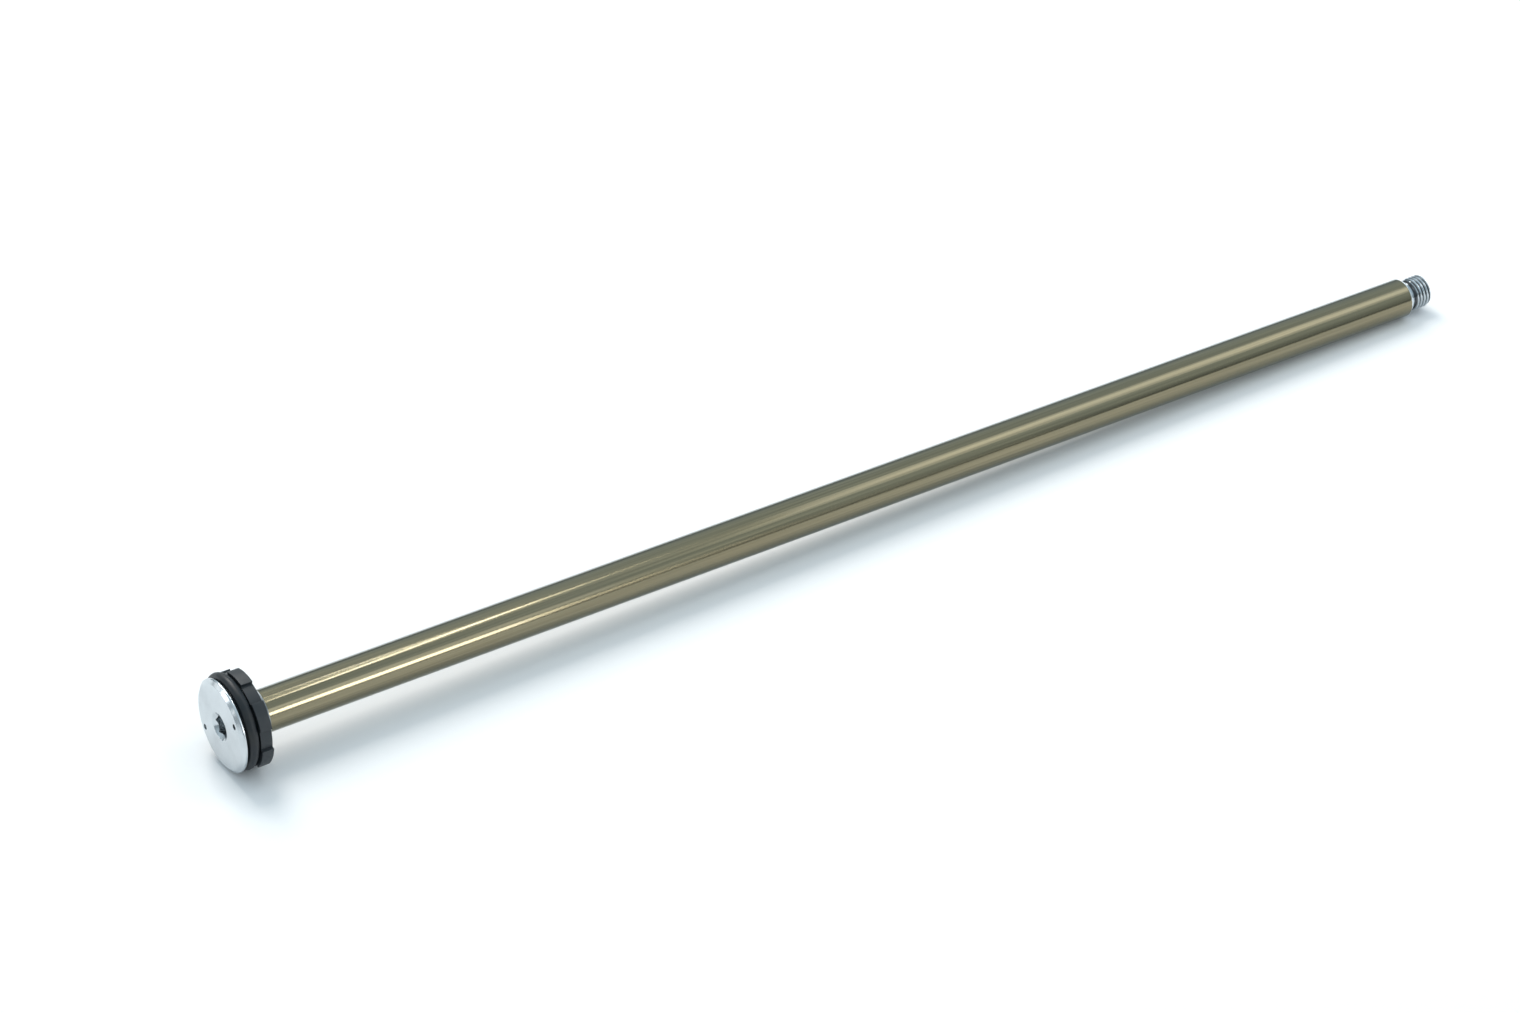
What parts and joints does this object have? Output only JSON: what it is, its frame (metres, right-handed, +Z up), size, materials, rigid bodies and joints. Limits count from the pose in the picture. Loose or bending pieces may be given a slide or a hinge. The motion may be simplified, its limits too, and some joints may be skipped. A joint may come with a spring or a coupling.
{
  "type": "piston rod assembly",
  "caption": "Long hollow aluminium piston rod with a sealed, hex-driven disc piston and a castellated guide ring on one end and a short threaded foot on the other.",
  "frame": {"origin": "centre of the piston's front face, at the mouth of its hex socket", "axes": "+X along the rod from the piston to the threaded foot, +Z up as the rod lies"},
  "size_m": [0.4173, 0.0272, 0.0276],
  "materials": {
    "bronze_anodised_aluminium": "hard anodised, drawn and polished along the rod, satin to glossy",
    "turned_aluminium": "bare, fine turned",
    "seal_rubber": "lightly greased, satin",
    "slate_plastic": "moulded, satin"
  },
  "bodies": {
    "piston_rod": {"rod_tube": "bronze_anodised_aluminium", "piston_head": "turned_aluminium", "piston_o_ring": "seal_rubber", "retaining_collar": "turned_aluminium", "head_stem_seal": "seal_rubber", "foot_stud": "turned_aluminium", "foot_stem_seal": "seal_rubber"},
    "guide_ring": {"guide_ring": "slate_plastic"}
  },
  "joints": [
    {"name": "guide_ring_spin", "type": "hinge", "parent": "piston_rod", "child": "guide_ring", "pos_m": [0.0072, 0, 0], "axis": [1, 0, 0], "continuous": true}
  ]
}
